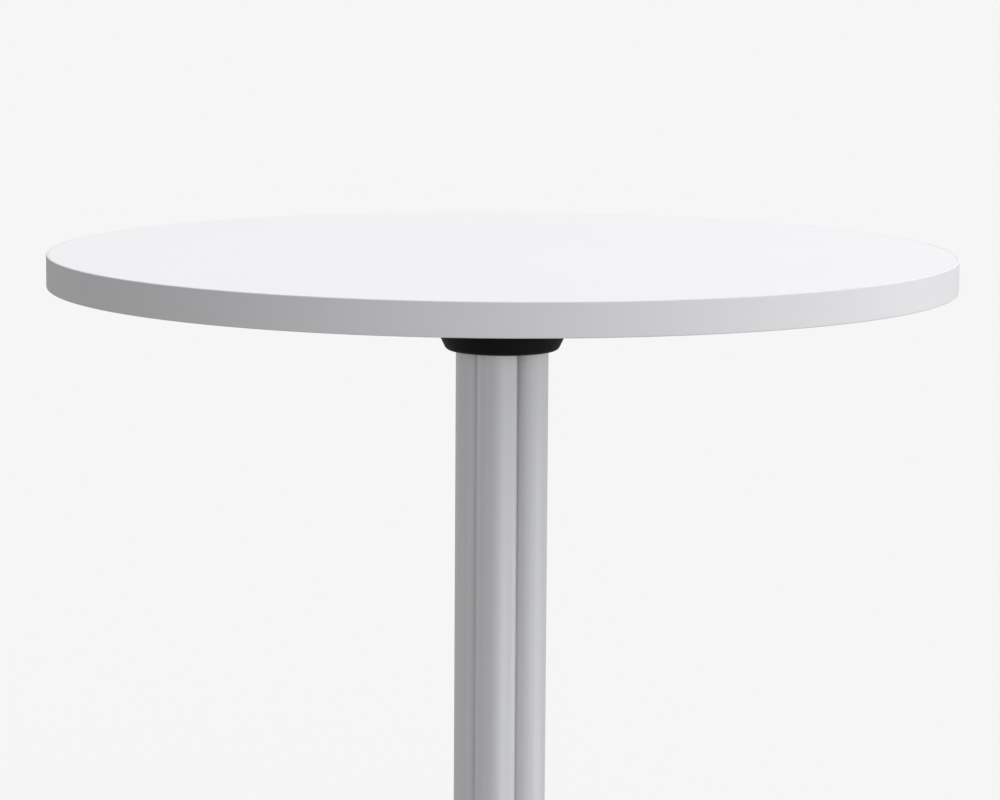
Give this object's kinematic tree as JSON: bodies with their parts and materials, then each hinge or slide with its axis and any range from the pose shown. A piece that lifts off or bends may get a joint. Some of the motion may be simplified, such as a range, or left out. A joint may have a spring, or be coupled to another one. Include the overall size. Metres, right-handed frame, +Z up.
{
  "type": "bistro table",
  "caption": "Round white laminate table on a lobed aluminium column, with a black collar under the top and a star foot of tapered arms on levelling glides.",
  "frame": {"origin": "on the floor, under the middle of the column", "axes": "+Z up the column, +X and +Y each along an arm of the foot"},
  "size_m": [0.7, 0.7, 0.74],
  "materials": {
    "white_laminate": "white high-pressure laminate, fine pearl, satin",
    "white_edging": "white ABS edge band, satin",
    "chipboard": "raw chipboard, out of sight",
    "black_plastic": "moulded black nylon, fine spark texture",
    "black_steel": "black powder coat on steel",
    "zinc_steel": "bright zinc plate",
    "anodised_aluminium": "satin natural anodised extrusion",
    "cast_aluminium": "silver powder coat on cast aluminium",
    "rubber": "black rubber"
  },
  "bodies": {
    "table": {"top_laminate": "white_laminate", "tabletop_core": "chipboard", "backing_laminate": "white_laminate", "edge_band": "white_edging", "mounting_cross": "black_steel", "top_collar": "black_plastic", "column": "anodised_aluminium", "tie_rod": "zinc_steel", "tie_rod_nut": "zinc_steel", "tie_rod_washer": "zinc_steel", "tie_rod_spring_washer": "zinc_steel", "dowel_pin_1": "zinc_steel", "dowel_pin_2": "zinc_steel", "wood_screw_1": "zinc_steel", "wood_screw_2": "zinc_steel", "wood_screw_3": "zinc_steel", "wood_screw_4": "zinc_steel", "wood_screw_5": "zinc_steel", "wood_screw_6": "zinc_steel", "wood_screw_7": "zinc_steel", "wood_screw_8": "zinc_steel", "base_hub": "cast_aluminium", "base_rosette": "black_plastic", "hub_cover": "black_plastic", "arm_1": "cast_aluminium", "arm_2": "cast_aluminium", "arm_3": "cast_aluminium", "arm_4": "cast_aluminium", "arm_screw_1": "zinc_steel", "arm_screw_2": "zinc_steel", "arm_screw_3": "zinc_steel", "arm_screw_4": "zinc_steel", "arm_screw_5": "zinc_steel", "arm_screw_6": "zinc_steel", "arm_screw_7": "zinc_steel", "arm_screw_8": "zinc_steel", "thread_insert_1": "zinc_steel", "lock_nut_1": "zinc_steel", "thread_insert_2": "zinc_steel", "lock_nut_2": "zinc_steel", "thread_insert_3": "zinc_steel", "lock_nut_3": "zinc_steel", "thread_insert_4": "zinc_steel", "lock_nut_4": "zinc_steel"},
    "pad_1": {"glide_pad_1": "black_plastic", "glide_sole_1": "rubber"},
    "stem_1": {"glide_stem_1": "zinc_steel"},
    "pad_2": {"glide_pad_2": "black_plastic", "glide_sole_2": "rubber"},
    "stem_2": {"glide_stem_2": "zinc_steel"},
    "pad_3": {"glide_pad_3": "black_plastic", "glide_sole_3": "rubber"},
    "stem_3": {"glide_stem_3": "zinc_steel"},
    "pad_4": {"glide_pad_4": "black_plastic", "glide_sole_4": "rubber"},
    "stem_4": {"glide_stem_4": "zinc_steel"}
  },
  "joints": [
    {"name": "glide_height_1", "type": "slide", "parent": "table", "child": "pad_1", "axis": [0, 0, -1], "range_m": [0, 0.01]},
    {"name": "glide_screw_1", "type": "hinge", "parent": "pad_1", "child": "stem_1", "pos_m": [0.28, 0, 0.0113], "axis": [0, 0, -1], "range_deg": [0, 2880]},
    {"name": "glide_height_2", "type": "slide", "parent": "table", "child": "pad_2", "axis": [0, 0, -1], "range_m": [0, 0.01]},
    {"name": "glide_screw_2", "type": "hinge", "parent": "pad_2", "child": "stem_2", "pos_m": [0, 0.28, 0.0113], "axis": [0, 0, -1], "range_deg": [0, 2880]},
    {"name": "glide_height_3", "type": "slide", "parent": "table", "child": "pad_3", "axis": [0, 0, -1], "range_m": [0, 0.01]},
    {"name": "glide_screw_3", "type": "hinge", "parent": "pad_3", "child": "stem_3", "pos_m": [-0.28, 0, 0.0113], "axis": [0, 0, -1], "range_deg": [0, 2880]},
    {"name": "glide_height_4", "type": "slide", "parent": "table", "child": "pad_4", "axis": [0, 0, -1], "range_m": [0, 0.01]},
    {"name": "glide_screw_4", "type": "hinge", "parent": "pad_4", "child": "stem_4", "pos_m": [0, -0.28, 0.0113], "axis": [0, 0, -1], "range_deg": [0, 2880]}
  ],
  "couplings": [
    {"joint": "glide_screw_1", "follows": "glide_height_1", "rad_per_m": 5026.5},
    {"joint": "glide_screw_2", "follows": "glide_height_2", "rad_per_m": 5026.5},
    {"joint": "glide_screw_3", "follows": "glide_height_3", "rad_per_m": 5026.5},
    {"joint": "glide_screw_4", "follows": "glide_height_4", "rad_per_m": 5026.5}
  ]
}
